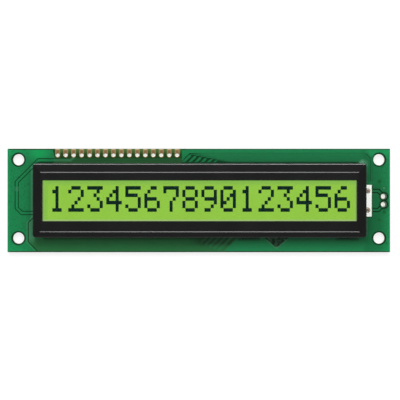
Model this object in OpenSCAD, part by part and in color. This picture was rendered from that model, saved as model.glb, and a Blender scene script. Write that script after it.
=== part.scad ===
// Character LCD module: one row of sixteen 5 x 7 dot characters behind a
// pressed steel bezel, with an LED backlight, on a long circuit board.
// It lies on its back with the display facing up. X runs along the row of
// characters, Y points to the edge with the header holes, and Z = 0 is the
// surface that the bezel's twisted tabs stand on.

/* [Circuit board] */
// Length of the circuit board
board_l = 122; // [109:0.5:140]
// Width of the circuit board
board_w = 33; // [29.5:0.5:45]
// Thickness of the laminate
board_t = 1.6; // [1:0.1:2.4]
// Thickness of the copper with the solder mask over it
copper_t = 0.08; // [0.05:0.01:0.12]
// Bare laminate along the edges of the board
edge_gap = 0.35; // [0.2:0.05:0.8]
// Bare laminate between neighbouring copper areas
track_gap = 0.3; // [0.2:0.05:0.4]
// Width of the signal tracks behind the board
track_w = 0.4; // [0.3:0.05:0.5]
// Number of fine tracks beside the header
bus_n = 6; // [2:1:6]
// Width of the fine tracks
bus_w = 0.2; // [0.15:0.01:0.22]
// Distance between neighbouring fine tracks
bus_pitch = 0.36; // [0.32:0.01:0.4]
// Number of sloped tracks below the lower edge of the bezel
fan_n = 5; // [2:1:5]
// Distance between neighbouring sloped tracks
fan_pitch = 2; // [1.9:0.05:2.2]
// Width of the two supply tracks and of the long track round the display
supply_track_w = 0.75; // [0.6:0.05:0.9]
// Outer diameter of the vias
via_d = 0.9; // [0.8:0.05:1]
// Diameter of the mounting holes
mount_d = 3.6; // [2.5:0.1:4]
// Bare ring round each mounting hole
mount_ring = 0.5; // [0.3:0.05:0.8]
// Mounting holes: distance from the ends of the board
mount_inset_x = 3.5; // [3:0.1:3.8]
// Mounting holes: distance of the upper pair from the header edge
mount_inset_top = 3.5; // [3:0.1:4.5]
// Mounting holes: distance of the lower pair from the other edge
mount_inset_bottom = 4.5; // [3:0.1:5.5]

/* [Header holes] */
// Number of header holes
header_n = 16; // [14:1:18]
// Distance between neighbouring header holes
header_pitch = 2.54; // [2.3:0.01:2.54]
// First header hole: distance from the left end of the board
header_inset_x = 16; // [14:0.1:18]
// Header holes: distance from the header edge
header_inset_y = 2; // [1.6:0.05:2.4]
// Width of each header pad
header_pad_w = 1.55; // [1.4:0.05:1.7]
// Diameter of the plated header holes
header_hole_d = 1; // [0.8:0.05:1.1]
// Thickness of the plating in a hole
plate_t = 0.1; // [0.05:0.01:0.15]

/* [Backlight supply] */
// Distance between the two supply holes
supply_pitch = 2.54; // [2.5:0.01:3]
// Supply holes: distance from the right end of the board
supply_inset = 1.95; // [1.6:0.05:2.4]
// Diameter of the supply pads
supply_pad_d = 2; // [1.8:0.05:2.1]
// Diameter of the plated supply holes
supply_hole_d = 1.1; // [0.8:0.05:1.2]
// Distance between the two pins of the backlight
pin_pitch = 6.1; // [5:0.1:7]
// Diameter of the pins
pin_d = 0.7; // [0.5:0.05:0.8]
// Distance of the pins from the outside of the bezel
pin_out = 0.85; // [0.7:0.05:1.2]

/* [Bezel] */
// Board past the bezel at each end
bezel_end = 8.3; // [7.4:0.1:12]
// Board past the bezel on the two long sides
bezel_side = 4.8; // [4.3:0.1:6]
// Height of the bezel's face above the laminate
bezel_h = 9.5; // [8.5:0.1:11]
// Thickness of the bezel's sheet steel
sheet_t = 0.5; // [0.4:0.05:0.6]
// How far the sloped rim falls from the raised land to the skirts
rim_drop = 1.5; // [1.2:0.1:2]
// Outer radius of the bends in the sheet
bend_r = 0.9; // [0.7:0.05:1.1]
// Outer radius of the upright corners
corner_r = 1.2; // [0.8:0.1:2]
// Number of tabs on each long side
tab_n = 4; // [3:1:5]
// Distance of the first and the last tab from the ends of the bezel
tab_inset = 5.7; // [5:0.1:9]
// Width of each tab
tab_w = 3; // [2.4:0.1:3.4]
// Angle that each tab is twisted by behind the board
tab_twist = 30; // [20:1:40]
// Length of each tab behind the board
tab_out = 1.9; // [1.8:0.05:2.6]
// Room round each tab in its slot
slot_room = 0.2; // [0.1:0.05:0.3]

/* [Window and glass] */
// Bezel past the window at each end
rim_end = 3.2; // [2.9:0.1:5]
// Bezel past the window on the two long sides
rim_side = 5.2; // [4.7:0.1:6]
// Corner radius of the window
window_r = 0.4; // [0.2:0.05:1]
// Distance of the display's middle from the board's middle, along the row
display_x = 0.27; // [-0.5:0.01:0.5]
// Distance of the window's middle from the board's middle, across the row
display_y = -0.1; // [-0.3:0.05:0.1]
// Front glass past the window at each end
glass_end = 0.65; // [0.5:0.05:0.7]
// Front glass past the window on the header side
glass_upper = 2.1; // [1.8:0.05:2.2]
// Front glass past the window on the side of the contact strip
glass_lower = 2.8; // [2.7:0.05:3]
// Land past the front glass at each end
land_end_room = 0.1; // [0.05:0.01:0.2]
// Land past the front glass on the two long sides
land_side_room = 0.45; // [0.3:0.05:0.5]
// Thickness of each glass
glass_t = 1.1; // [0.7:0.05:1.3]
// Thickness of each polariser film
polariser_t = 0.2; // [0.15:0.01:0.3]
// Polariser kept back from the edge of its glass
polariser_back = 0.3; // [0.2:0.05:0.4]
// Gap between the two glasses
cell_gap = 0.1; // [0.05:0.01:0.15]
// Width of the seal ring between the glasses
seal_w = 0.5; // [0.4:0.05:0.6]
// Front glass past the rear glass, over the contact strip
ledge_w = 2.2; // [2.1:0.05:2.5]

/* [Characters] */
// Number of characters in the row
char_n = 16; // [8:1:16]
// Window past the row of characters at each end
char_room = 1.5; // [1:0.1:4]
// Window past the rows of dots on the two long sides
dot_room = 1.89; // [1:0.01:2.4]
// Clear space between neighbouring characters
char_gap = 1.16; // [0.8:0.02:1.6]
// Clear space between neighbouring dots
dot_gap = 0.06; // [0.04:0.01:0.1]

/* [Backlight] */
// Thickness of the board that carries the LEDs
led_board_t = 1; // [0.8:0.1:1.2]
// Width of the LED board's tongue outside the bezel
tongue_w = 10.05; // [9.5:0.05:12]
// How far the tongue sticks out of the bezel
tongue_out = 2.3; // [2.1:0.1:2.8]
// Room round the tongue in the skirt
tongue_room = 0.25; // [0.15:0.05:0.4]
// Wall thickness of the backlight's housing
housing_t = 0.8; // [0.6:0.1:1]
// Thickness of the diffuser
diffuser_t = 1; // [0.8:0.1:1.5]
// LEDs in each of the two rows
led_n = 16; // [8:1:20]
// Length of one LED
led_l = 2; // [1.6:0.1:3]
// Width of one LED
led_w = 1.25; // [0.8:0.05:1.6]
// Height of one LED
led_h = 0.8; // [0.4:0.1:1.2]

/* [Contact strip] */
// Width of the contact strip
strip_w = 1.6; // [1.4:0.05:1.7]
// Front glass past the contact strip at each end
strip_room = 1.25; // [1:0.05:2]
// Number of contact fingers below the strip
finger_n = 88; // [40:1:88]
// Width of one contact finger
finger_w = 0.6; // [0.4:0.05:0.7]

/* [Rear parts] */
// Diameter of the epoxy blobs over the two chips
blob_d = 13; // [11:0.5:14]
// Height of the epoxy blobs
blob_h = 1.5; // [1:0.1:1.7]
// Distance between the two blobs
blob_pitch = 44; // [40:0.5:50]
// Number of chip resistors
resistor_n = 6; // [1:1:8]
// Number of chip capacitors
capacitor_n = 3; // [1:1:4]
// Distance between neighbouring chips
chip_pitch = 3; // [2.6:0.1:3.4]
// Length of a chip resistor or capacitor
chip_l = 2; // [1.6:0.1:2.2]
// Width of a chip resistor or capacitor
chip_w = 1.25; // [0.8:0.05:1.4]
// Height of a chip resistor
resistor_h = 0.55; // [0.4:0.05:0.8]
// Height of a chip capacitor
capacitor_h = 0.9; // [0.6:0.05:1.2]
// Length of one end cap of a chip
chip_cap = 0.4; // [0.3:0.05:0.5]

/* [Hidden] */
$fn = 48;

// Running clearance between a round piece and the hole it sits in
fit_gap = 0.02;
// Extra length of a cutting tool past the face it cuts
cut = 1;

// Heights above the surface that the module lies on
laminate_z = tab_out;
face_z = laminate_z + board_t;
deck_z = face_z + copper_t;
rear_z = laminate_z - copper_t;
top_z = face_z + bezel_h;
ceiling_z = top_z - sheet_t;
front_glass_z = ceiling_z - polariser_t - glass_t;
rear_glass_z = front_glass_z - cell_gap - glass_t;
light_top_z = rear_glass_z - polariser_t;
led_top_z = deck_z + led_board_t;

// Edges of the board, the bezel and the glass
board_x = board_l / 2;
board_y = board_w / 2;
bezel_l = board_l - 2 * bezel_end;
bezel_w = board_w - 2 * bezel_side;
window_l = bezel_l - 2 * rim_end;
window_w = bezel_w - 2 * rim_side;
bezel_left = display_x - bezel_l / 2;
bezel_right = display_x + bezel_l / 2;
bezel_y = bezel_w / 2;
glass_l = window_l + 2 * glass_end;
glass_top = display_y + window_w / 2 + glass_upper;
glass_bottom = display_y - window_w / 2 - glass_lower;
rear_glass_bottom = glass_bottom + ledge_w;
land_l = glass_l + 2 * land_end_room;
land_top = glass_top + land_side_room;
land_bottom = land_side_room - glass_bottom;

// The light box stands between the end skirts and clear of the contact strip
light_l = glass_l - 0.4;
light_top = glass_top - 0.2;
light_bottom = rear_glass_bottom + 0.05;
strip_y = glass_bottom + ledge_w / 2;
strip_l = glass_l - 2 * strip_room;
finger_pitch = (strip_l - 1) / finger_n;

// Five columns of dots fill a character, and eight rows of dots the window
dot_columns = 5;
dot_rows = 8;
char_pitch = (window_l - 2 * char_room) / char_n;
dot_pitch_x = (char_pitch - char_gap + dot_gap) / dot_columns;
dot_pitch_y = (window_w - 2 * dot_room + dot_gap) / dot_rows;

// Holes and pins
header_y = board_y - header_inset_y;
header_left = header_inset_x - board_x;
header_right = header_left + (header_n - 1) * header_pitch;
supply_x = board_x - supply_inset;
supply_y = supply_pitch / 2;
pin_x = bezel_right + pin_out;
pin_y = pin_pitch / 2;
pin_hole_d = pin_d + 0.2;
tongue_end = bezel_right + tongue_out;
skirt_y = bezel_y - sheet_t / 2;
skirt_land = sheet_t + 0.4;
chip_y = 0.7 - blob_d / 2;

function header_x(i) = header_left + i * header_pitch;
tab_step = (bezel_l - 2 * tab_inset) / (tab_n - 1);
function tab_x(i) = bezel_left + tab_inset + i * tab_step;
function mount_points() = [
    for (side = [-1, 1]) each [
        [side * (board_x - mount_inset_x), board_y - mount_inset_top],
        [side * (board_x - mount_inset_x), mount_inset_bottom - board_y]
    ]
];

// ---------------------------------------------------------------- flat shapes

module rounded(l, w, r) {
    square([l, w - 2 * r], center = true);
    square([l - 2 * r, w], center = true);
    for (x = [-1, 1], y = [-1, 1]) translate([x * (l / 2 - r), y * (w / 2 - r)]) circle(r);
}

// A straight run with round ends from p to q
module run(p, q, w) {
    d = q - p;
    if (norm(d) > 0) translate((p + q) / 2) rotate(atan2(d.y, d.x)) square([norm(d), w], center = true);
    for (end = [p, q]) translate(end) circle(d = w);
}

module track(points, w) {
    for (i = [1 : len(points) - 1]) run(points[i - 1], points[i], w);
}

module sheet(x0, x1, y0, y1) {
    translate([x0, y0]) square([x1 - x0, y1 - y0]);
}

module layer(z0, z1) {
    translate([0, 0, z0]) linear_extrude(z1 - z0) children();
}

// -------------------------------------------------------------- circuit board

module slots(room) {
    for (i = [0 : tab_n - 1], side = [-1, 1])
        translate([tab_x(i), side * skirt_y])
            square([tab_w + 2 * room, sheet_t + 2 * room], center = true);
}

module mount_holes(ring) {
    for (p = mount_points()) translate(p) circle(d = mount_d + 2 * ring);
}

module header_holes(d) {
    for (i = [0 : header_n - 1]) translate([header_x(i), header_y]) circle(d = d);
}

module supply_holes(d) {
    for (side = [-1, 1]) translate([supply_x, side * supply_y]) circle(d = d);
}

module pin_holes(d) {
    for (side = [-1, 1]) translate([pin_x, side * pin_y]) circle(d = d);
}

module circuit_board() {
    color("#1f6b3f") layer(laminate_z, face_z) difference() {
        square([board_l, board_w], center = true);
        mount_holes(0);
        header_holes(header_hole_d + 2 * plate_t + 2 * fit_gap);
        supply_holes(supply_hole_d + 2 * plate_t + 2 * fit_gap);
        pin_holes(pin_hole_d);
        slots(slot_room);
    }
}

// ---------------------------------------------------------------- front copper

// The long track leaves the third pad, runs along the bezel and round its left end
upper_run_y = bezel_y + 1.1;
left_run_x = 2.95 - board_x;
function long_track() = [
    [header_x(2), header_y],
    [header_x(2), upper_run_y + 0.9],
    [header_x(2) - 0.9, upper_run_y],
    [bezel_left + 1.3, upper_run_y],
    [left_run_x, upper_run_y - (bezel_left + 1.3 - left_run_x)],
    [left_run_x, -2.4],
    [left_run_x + 1.6, -4],
    [bezel_left + 1, -4]
];

// One track from each backlight pin to its supply pad, with one 45 degree leg
function supply_track(side) = [
    [pin_x, side * pin_y],
    [supply_x - pin_y + supply_y, side * pin_y],
    [supply_x, side * supply_y]
];

// Sloped tracks come out from under the bezel beside the header, turn into a bus of
// fine tracks along the edge, and go down beside the bezel to end below the tongue
bus_left_x = header_right + 1.5;
bus_down_x = bezel_right + 0.4;
bus_low_y = bezel_y + 1.25;
bus_end_y = display_y + tongue_w / 2 - 0.6;
bus_corner = 1.7;
slope_stop = 0.55;
function slope_x(i) = bus_left_x + (bus_n - 1 - i) * fan_pitch;
function bus_y(i) = bus_low_y + i * bus_pitch;
function bus_slope(i) = [
    [slope_x(i) - 1, bezel_y - 1],
    [slope_x(i) + bus_y(i) - bezel_y - slope_stop, bus_y(i) - slope_stop]
];
function bus_track(i) = [
    bus_slope(i)[1],
    [slope_x(i) + bus_y(i) - bezel_y, bus_y(i)],
    [bus_down_x + i * bus_pitch - bus_corner, bus_y(i)],
    [bus_down_x + i * bus_pitch, bus_y(i) - bus_corner],
    [bus_down_x + i * bus_pitch, bus_end_y]
];

// Sloped tracks below the lower edge of the bezel, each longer than the one before
fan_left_x = 2.5;
function fan_reach(i) = 1.6 + 0.6 * i;
function fan_track(i) = [
    [fan_left_x + i * fan_pitch + 1, 1 - bezel_y],
    [fan_left_x + i * fan_pitch - fan_reach(i), -bezel_y - fan_reach(i)]
];
function via_points() = [
    for (i = [0 : fan_n - 1]) fan_track(i)[1],
    [left_run_x, 3.7],
    [board_x - 3.4, 6],
    [board_x - 1.9, 3.9],
    [board_x - 1.9, -3.7],
    [board_x - 3.5, -6.2]
];

module wide_tracks(gap) {
    w = supply_track_w + 2 * gap;
    track(long_track(), w);
    for (side = [-1, 1]) track(supply_track(side), w);
    for (i = [0 : fan_n - 1]) track(fan_track(i), w);
}

module bus() {
    for (i = [0 : bus_n - 1]) {
        track(bus_slope(i), supply_track_w);
        track(bus_track(i), bus_w);
    }
}

module vias(gap) {
    for (p = via_points()) translate(p) circle(d = via_d + 2 * gap);
}

// The board is bare inside the skirts, apart from the contact fingers
module below_bezel() {
    sheet(bezel_left + skirt_land, bezel_right - skirt_land, skirt_land - bezel_y, bezel_y - skirt_land);
}

module front_tracks() {
    color("#2a8f55") layer(face_z, deck_z) difference() {
        union() {
            wide_tracks(0);
            bus();
            vias(0);
        }
        header_pad_shapes(fit_gap);
        supply_holes(supply_pad_d + 2 * fit_gap);
        pin_holes(pin_hole_d);
        below_bezel();
    }
}

// Copper is poured over both ends, the header edge and the lower right
pour_x = board_x - edge_gap;
pour_y = board_y - edge_gap;
pour_left_y = -4.9;
pour_left_x = bezel_left - 2.1;
pour_corner_y = -13.3;
pour_lower_x = 8;
pour_upper_y = upper_run_y + 1;
header_clear = 1.5;
module poured_areas() {
    polygon([
        [-pour_x, -pour_y],
        [-pour_x, pour_y],
        [header_left - header_clear, pour_y],
        [header_left - 1, pour_upper_y],
        [header_left - 1, upper_run_y],
        [bezel_left + 1, upper_run_y],
        [bezel_left + 1, pour_left_y],
        [bezel_left, pour_left_y],
        [pour_left_x, pour_left_y + pour_left_x - bezel_left],
        [pour_left_x, pour_corner_y],
        [pour_left_x + pour_corner_y + pour_y, -pour_y]
    ]);
    polygon([
        [header_right + header_clear, pour_y],
        [pour_x, pour_y],
        [pour_x, -pour_y],
        [pour_lower_x, -pour_y],
        [pour_lower_x + pour_y - bezel_y + 1, 1 - bezel_y],
        [bezel_right - 1, 1 - bezel_y],
        [bezel_right - 1, bezel_y - 1],
        [header_right + header_clear, bezel_y - 1]
    ]);
}

// The bus lies in a bare field of its own, and there is a bare notch below the bezel
notch_x = 24.8;
notch_half = 4;
notch_h = 3.1;
module bare_fields() {
    slope_side = (supply_track_w / 2 + track_gap) * sqrt(2);
    bus_side = bus_w / 2 + track_gap;
    bus_top_y = bus_y(bus_n - 1) + bus_side;
    bus_out_x = bus_down_x + (bus_n - 1) * bus_pitch + bus_side;
    polygon([
        [bus_left_x - slope_side - 1, bezel_y - 1],
        [bus_left_x - slope_side + bus_top_y - bezel_y, bus_top_y],
        [bus_out_x - bus_corner - bus_side / 2, bus_top_y],
        [bus_out_x, bus_top_y - bus_corner - bus_side / 2],
        [bus_out_x, bus_end_y - bus_side],
        [bezel_right - 1, bus_end_y - bus_side],
        [bezel_right - 1, bezel_y - 1]
    ]);
    polygon([
        [notch_x - notch_half, -bezel_y],
        [notch_x - 0.4, -bezel_y - notch_h],
        [notch_x + 0.4, -bezel_y - notch_h],
        [notch_x + notch_half, -bezel_y]
    ]);
}

module front_copper() {
    color("#27a35c") layer(face_z, deck_z) difference() {
        poured_areas();
        bare_fields();
        wide_tracks(track_gap);
        vias(track_gap);
        mount_holes(mount_ring);
        header_pad_shapes(track_gap);
        supply_holes(supply_pad_d + 2 * track_gap);
        pin_holes(pin_hole_d + 2 * track_gap);
        slots(slot_room + track_gap);
        below_bezel();
    }
}

// ----------------------------------------------------------------- rear copper

// A lane from the header to the controller passes beside the tab that is in its way
function nearest_tab(x) =
    let (i = round((x - tab_x(0)) / tab_step))
    tab_x(max(0, min(tab_n - 1, i)));
function lane_x(x) =
    let (tab = nearest_tab(x), room = tab_w / 2 + 1.2)
    abs(x - tab) < room ? tab + (x < tab ? -room : room) : x;
lane_pitch = 0.75;
run_top = bezel_y - 2;
function blob_x(side) = display_x + side * blob_pitch / 2;
function lane_end(i) = [blob_x(-1) + (i - (header_n - 1) / 2) * lane_pitch, 0];
// Lanes up to the split run to the right and the others to the left. The outer
// lanes run nearest the blob, so no lane crosses another.
lane_split = floor((lane_end(0).x - header_x(0)) / (header_pitch - lane_pitch));
function lane_level(i) = i > lane_split ? i - lane_split : lane_split + 1 - i;
function lane(i) =
    let (
        x = lane_x(header_x(i)),
        start = [header_x(i), header_y],
        side_step = abs(x - start.x),
        run_y = run_top - (track_w + track_gap) * lane_level(i),
        way = lane_end(i).x - x,
        bevel = min(0.8, abs(way) / 3) * sign(way)
    )
    concat(
        side_step == 0 ? [start] : [start, start - [0, 1.4], [x, start.y - 1.4 - side_step]],
        [
            [x, run_y + abs(bevel)],
            [x + bevel, run_y],
            [lane_end(i).x - bevel, run_y],
            [lane_end(i).x, run_y - abs(bevel)],
            lane_end(i)
        ]
    );
// Eight lanes join the controller to the driver
link_n = 8;
link_pitch = 0.8;
function link_y(i) = (i - link_n / 2) * link_pitch;
function link(i) = [[blob_x(-1), link_y(i)], [blob_x(1), link_y(i)]];

module rear_lanes(gap) {
    for (i = [1 : header_n - 3]) track(lane(i), track_w + 2 * gap);
    for (i = [0 : link_n - 1]) track(link(i), track_w + 2 * gap);
    for (side = [-1, 1])
        track([[supply_x, side * supply_y], [pin_x, side * pin_y]], supply_track_w + 2 * gap);
}

module blob_wells(gap) {
    for (side = [-1, 1]) translate([blob_x(side), 0]) circle(d = blob_d + 2 * gap);
}

module chip_land_shapes(gap) {
    for (x = concat(resistor_xs(), capacitor_xs()), side = [-1, 1])
        translate([x, chip_y + side * (chip_l / 2 - chip_cap / 2 + 0.1)])
            square([chip_w + 0.2 + 2 * gap, chip_cap + 0.6 + 2 * gap], center = true);
}

module rear_tracks() {
    color("#2a8f55") layer(rear_z, laminate_z) difference() {
        rear_lanes(0);
        blob_wells(fit_gap);
        header_holes(header_pad_w + 2 * fit_gap);
        supply_holes(supply_pad_d + 2 * fit_gap);
        pin_holes(solder_d + 2 * fit_gap);
    }
}

module rear_copper() {
    color("#27a35c") layer(rear_z, laminate_z) difference() {
        square([2 * pour_x, 2 * pour_y], center = true);
        rear_lanes(track_gap);
        // No copper is left between the lanes where they turn to the controller
        sheet(lane_end(1).x, lane_end(header_n - 3).x, 0, run_top - track_w - track_gap);
        blob_wells(track_gap);
        chip_land_shapes(track_gap);
        mount_holes(mount_ring);
        header_holes(header_pad_w + 2 * track_gap);
        supply_holes(supply_pad_d + 2 * track_gap);
        pin_holes(solder_d + 2 * track_gap);
        for (i = [0 : tab_n - 1], side = [-1, 1])
            translate([tab_x(i), side * skirt_y]) circle(d = tab_w + 2 * slot_room + track_gap);
    }
}

// ----------------------------------------------------------------- plated pads

// Front pads: round below the hole and straight up to the edge of the board
module header_pad_shapes(gap) {
    w = header_pad_w + 2 * gap;
    for (i = [0 : header_n - 1]) {
        translate([header_x(i), header_y]) circle(d = w);
        sheet(header_x(i) - w / 2, header_x(i) + w / 2, header_y, board_y - 0.1);
    }
}

module plated(hole_d) {
    difference() {
        children();
        layer(rear_z - cut, deck_z + cut) circle(d = hole_d);
    }
}

module header_pads() {
    color("#b98a55") for (i = [0 : header_n - 1]) translate([header_x(i), header_y]) plated(header_hole_d) {
        layer(rear_z, deck_z) circle(d = header_hole_d + 2 * plate_t);
        layer(rear_z, laminate_z) circle(d = header_pad_w);
        layer(face_z, deck_z) {
            circle(d = header_pad_w);
            sheet(-header_pad_w / 2, header_pad_w / 2, 0, header_inset_y - 0.1);
        }
    }
}

module supply_pads() {
    color("#c9cdc8") for (side = [-1, 1]) translate([supply_x, side * supply_y]) plated(supply_hole_d) {
        layer(rear_z, deck_z) circle(d = supply_hole_d + 2 * plate_t);
        layer(rear_z, laminate_z) circle(d = supply_pad_d);
        layer(face_z, deck_z) circle(d = supply_pad_d);
    }
}

module contact_fingers() {
    color("#d8b25a") layer(face_z, deck_z) for (i = [0 : finger_n - 1])
        translate([display_x + (i - (finger_n - 1) / 2) * finger_pitch, strip_y])
            square([finger_w, ledge_w - 0.2], center = true);
}

// ----------------------------------------------------------------------- bezel

// Half section of the folded sheet from its middle out to one side. The land
// ends at land, the skirt's outside stands at reach, and r is the bend radius
// of the skin: bend_r for the outside, bend_r - sheet_t for the inside.
module half_section(reach, land, r) {
    slope = atan(rim_drop / (reach - land));
    land_bend = [land - bend_r * tan(slope / 2), top_z - bend_r];
    skirt_bend = [reach - bend_r, top_z - rim_drop - bend_r * tan((90 - slope) / 2)];
    tilt = [sin(slope), cos(slope)];
    polygon([
        [0, deck_z],
        [0, land_bend.y + r],
        land_bend + [0, r],
        land_bend + r * tilt,
        skirt_bend + r * tilt,
        skirt_bend + [r, 0],
        [skirt_bend.x + r, deck_z]
    ]);
    translate(land_bend) circle(r);
    translate(skirt_bend) circle(r);
}

// The pressed shell: where the long section, the cross section and the rounded
// plan agree. Its mitred rim falls away on all four sides.
module shell(r) {
    inset = bend_r - r;
    l = bezel_l - 2 * inset;
    w = bezel_w - 2 * inset;
    intersection() {
        translate([display_x, bezel_w / 2, 0]) rotate([90, 0, 0]) linear_extrude(bezel_w) {
            half_section(bezel_l / 2, land_l / 2, r);
            mirror([1, 0]) half_section(bezel_l / 2, land_l / 2, r);
        }
        translate([display_x - bezel_l / 2, 0, 0]) rotate([90, 0, 90]) linear_extrude(bezel_l) {
            half_section(bezel_y, land_top, r);
            mirror([1, 0]) half_section(bezel_y, land_bottom, r);
        }
        layer(deck_z, top_z) translate([display_x, 0]) rounded(l, w, corner_r - inset);
    }
}

// Each tab goes straight through the board and is twisted behind it
module tab() {
    translate([-tab_w / 2, -sheet_t / 2, laminate_z]) cube([tab_w, sheet_t, deck_z + cut - laminate_z]);
    translate([0, 0, laminate_z]) mirror([0, 0, 1])
        linear_extrude(tab_out, twist = tab_twist, slices = 4, $fn = 4)
            square([tab_w, sheet_t], center = true);
}

module bezel() {
    color("#222222") {
        difference() {
            shell(bend_r);
            shell(bend_r - sheet_t);
            layer(ceiling_z - cut, top_z + cut) translate([display_x, display_y])
                rounded(window_l, window_w, window_r);
            translate([bezel_right - sheet_t - cut, display_y - tongue_w / 2 - tongue_room, deck_z - cut])
                cube([sheet_t + 2 * cut, tongue_w + 2 * tongue_room, led_board_t + tongue_room + cut]);
        }
        for (i = [0 : tab_n - 1], side = [-1, 1]) translate([tab_x(i), side * skirt_y, 0]) tab();
    }
}

// --------------------------------------------------------------- display panel

// A film laid on a glass that runs from y0 to y1, kept back from its edges
module film(y0, y1, z0) {
    x = glass_l / 2 - polariser_back;
    layer(z0, z0 + polariser_t)
        sheet(display_x - x, display_x + x, y0 + polariser_back, y1 - polariser_back);
}

module pane(y0, y1, z0) {
    layer(z0, z0 + glass_t) sheet(display_x - glass_l / 2, display_x + glass_l / 2, y0, y1);
}

module front_polariser() {
    color("#a9c96a") film(rear_glass_bottom, glass_top, ceiling_z - polariser_t);
}

module front_glass() {
    color("#c8dcc0") pane(glass_bottom, glass_top, front_glass_z);
}

module rear_glass() {
    color("#c8dcc0") pane(rear_glass_bottom, glass_top, rear_glass_z);
}

module rear_polariser() {
    color("#93c83e") film(rear_glass_bottom, glass_top, light_top_z);
}

// The seal is a ring with a gap at its left end, where the cell is filled
port_w = 2;
module seal_ring(w) {
    x = glass_l / 2 - 0.1;
    y0 = rear_glass_bottom + 0.1;
    y1 = glass_top - 0.1;
    translate([display_x, (y0 + y1) / 2]) difference() {
        square([2 * x, y1 - y0], center = true);
        square([2 * (x - w), y1 - y0 - 2 * w], center = true);
    }
}

module port() {
    translate([display_x - glass_l / 2, (rear_glass_bottom + glass_top) / 2])
        square([4 * seal_w, port_w], center = true);
}

module cell_seal() {
    color("#d9d3b0") layer(front_glass_z - cell_gap, front_glass_z) difference() {
        seal_ring(seal_w);
        port();
    }
}

module fill_port_plug() {
    color("#e8d9a0") layer(front_glass_z - cell_gap, front_glass_z) intersection() {
        seal_ring(seal_w);
        port();
    }
}

// Ten plain digits on the 5 x 7 grid, one string per row of dots
DIGITS = [
    [".###.", "#...#", "#..##", "#.#.#", "##..#", "#...#", ".###."],
    ["..#..", ".##..", "..#..", "..#..", "..#..", "..#..", ".###."],
    [".###.", "#...#", "....#", "...#.", "..#..", ".#...", "#####"],
    ["#####", "...#.", "..#..", "...#.", "....#", "#...#", ".###."],
    ["...#.", "..##.", ".#.#.", "#..#.", "#####", "...#.", "...#."],
    ["#####", "#....", "####.", "....#", "....#", "#...#", ".###."],
    ["..##.", ".#...", "#....", "####.", "#...#", "#...#", ".###."],
    ["#####", "#...#", "....#", "...#.", "..#..", "..#..", "..#.."],
    [".###.", "#...#", "#...#", ".###.", "#...#", "#...#", ".###."],
    [".###.", "#...#", "#...#", ".####", "....#", "...#.", ".##.."]
];

// The row of dots below the characters belongs to the cursor and stays clear
module digit(value) {
    rows = DIGITS[value];
    left = (1 - dot_columns) * dot_pitch_x / 2;
    top = (dot_rows - 1) * dot_pitch_y / 2;
    for (row = [0 : dot_rows - 2], column = [0 : dot_columns - 1])
        if (rows[row][column] == "#")
            translate([left + column * dot_pitch_x, top - row * dot_pitch_y])
                square([dot_pitch_x - dot_gap, dot_pitch_y - dot_gap], center = true);
}

module lit_dots() {
    color("#0b2a22") layer(front_glass_z - cell_gap, front_glass_z) for (i = [0 : char_n - 1])
        translate([display_x + (i - (char_n - 1) / 2) * char_pitch, display_y]) digit((i + 1) % 10);
}

// ------------------------------------------------------------------- backlight

module light_plan(inset) {
    x = light_l / 2 - inset;
    sheet(display_x - x, display_x + x, light_bottom + inset, light_top - inset);
}

// The housing carries the diffuser on a step inside its rim
module backlight_housing() {
    color("#f4f4ee") difference() {
        layer(led_top_z, light_top_z) light_plan(0);
        layer(led_top_z - cut, light_top_z + cut) light_plan(housing_t);
        layer(light_top_z - diffuser_t, light_top_z + cut) light_plan(housing_t / 2);
    }
}

module backlight_diffuser() {
    color("#eef7d8") layer(light_top_z - diffuser_t, light_top_z) light_plan(housing_t / 2 + 0.05);
}

module led_board() {
    color("#f7f7f2") layer(deck_z, led_top_z) difference() {
        union() {
            light_plan(0);
            sheet(display_x, tongue_end, display_y - tongue_w / 2, display_y + tongue_w / 2);
        }
        pin_holes(pin_hole_d);
    }
}

module led_chips() {
    pitch = light_l / (led_n + 0.5);
    color("#d8e86a") layer(led_top_z, led_top_z + led_h) for (i = [0 : led_n - 1], side = [-1, 1])
        translate([display_x + (i - (led_n - 1) / 2) * pitch, display_y + side * window_w / 4])
            square([led_l, led_w], center = true);
}

// The pins join the LED board to the circuit board
pin_tip = 0.8;
solder_d = 1.7;
module backlight_pins() {
    color("#8a6a3c") for (side = [-1, 1]) translate([pin_x, side * pin_y, 0]) {
        layer(rear_z - pin_tip, led_top_z + 0.4) circle(d = pin_d);
    }
}

// A concave fillet round each pin, on the tongue and behind the board
module fillet() {
    r = (solder_d - pin_d) / 2 - fit_gap;
    rotate_extrude() translate([pin_d / 2 + fit_gap, 0]) difference() {
        square(r);
        translate([r, r]) circle(r - 0.05);
        translate([r - 0.05, r - 0.05]) square(cut);
    }
}

module pin_solder() {
    color("#b9a27a") for (side = [-1, 1]) translate([pin_x, side * pin_y, 0]) {
        translate([0, 0, led_top_z]) fillet();
        translate([0, 0, laminate_z]) mirror([0, 0, 1]) fillet();
    }
}

module contact_strip() {
    color("#7d5a6a") layer(deck_z, front_glass_z) translate([display_x, strip_y])
        square([strip_l, strip_w], center = true);
}

// ------------------------------------------------------------------ rear parts

// An epoxy cap that spreads flat at its rim
module blob(side) {
    r = (blob_h * blob_h + blob_d * blob_d / 4) / (2 * blob_h);
    color("#151515") translate([blob_x(side), 0, laminate_z]) mirror([0, 0, 1])
        rotate_extrude() intersection() {
            translate([0, blob_h - r]) circle(r, $fn = 256);
            square([blob_d, blob_h]);
        }
}

module controller_blob() {
    blob(-1);
}

module driver_blob() {
    blob(1);
}

function resistor_xs() = [
    for (i = [0 : resistor_n - 1]) display_x + (i - (resistor_n - 1) / 2) * chip_pitch
];
function capacitor_xs() = [
    for (i = [0 : capacitor_n - 1]) blob_x(1) + blob_d / 2 + 5.5 + i * chip_pitch
];

// Tinned lands, one below each end cap
module chip_lands() {
    color("#c4c6c8") layer(rear_z, laminate_z) chip_land_shapes(0);
}

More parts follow.
